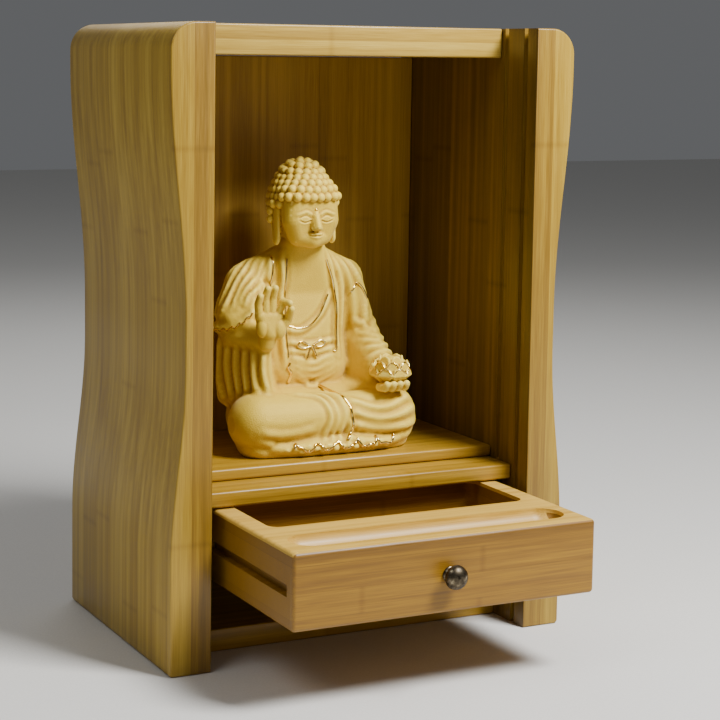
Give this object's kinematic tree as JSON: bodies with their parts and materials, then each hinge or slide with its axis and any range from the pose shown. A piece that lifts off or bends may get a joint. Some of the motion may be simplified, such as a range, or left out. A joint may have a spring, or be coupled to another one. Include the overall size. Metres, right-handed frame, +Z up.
{
  "type": "household altar cabinet",
  "caption": "Small upright altar cabinet of laminated bamboo with waisted side panels, an open niche holding a seated figure, and a low drawer with a round knob.",
  "frame": {"origin": "on the table, at the middle of the footprint of the cabinet without its drawer", "axes": "+Z up, the open front faces -Y, +X to the right of someone who looks into the niche"},
  "size_m": [0.236, 0.2376, 0.33],
  "materials": {
    "panel_bamboo": "laminated bamboo, clear satin lacquer, upright lamellae",
    "board_bamboo": "laminated bamboo, clear satin lacquer",
    "drawer_bamboo": "laminated bamboo, clear satin lacquer, grain across the front",
    "bronze": "dark aged bronze, soft polish on the dome",
    "sand_gold": "fine matte sand-gold surface on cast resin, with thin polished gold lines"
  },
  "bodies": {
    "cabinet": {"side_panel_left": "panel_bamboo", "side_panel_right": "panel_bamboo", "top_board": "board_bamboo", "back_panel": "board_bamboo", "floor_board": "board_bamboo", "step_board": "board_bamboo", "bottom_board": "board_bamboo", "drawer_runner_left": "board_bamboo", "drawer_runner_right": "board_bamboo", "seated_figure": "sand_gold"},
    "drawer": {"drawer": "drawer_bamboo", "drawer_knob": "bronze"}
  },
  "joints": [
    {"name": "drawer_slide", "type": "slide", "parent": "cabinet", "child": "drawer", "axis": [0, -1, 0], "range_m": [-0.092, 0.004]}
  ]
}
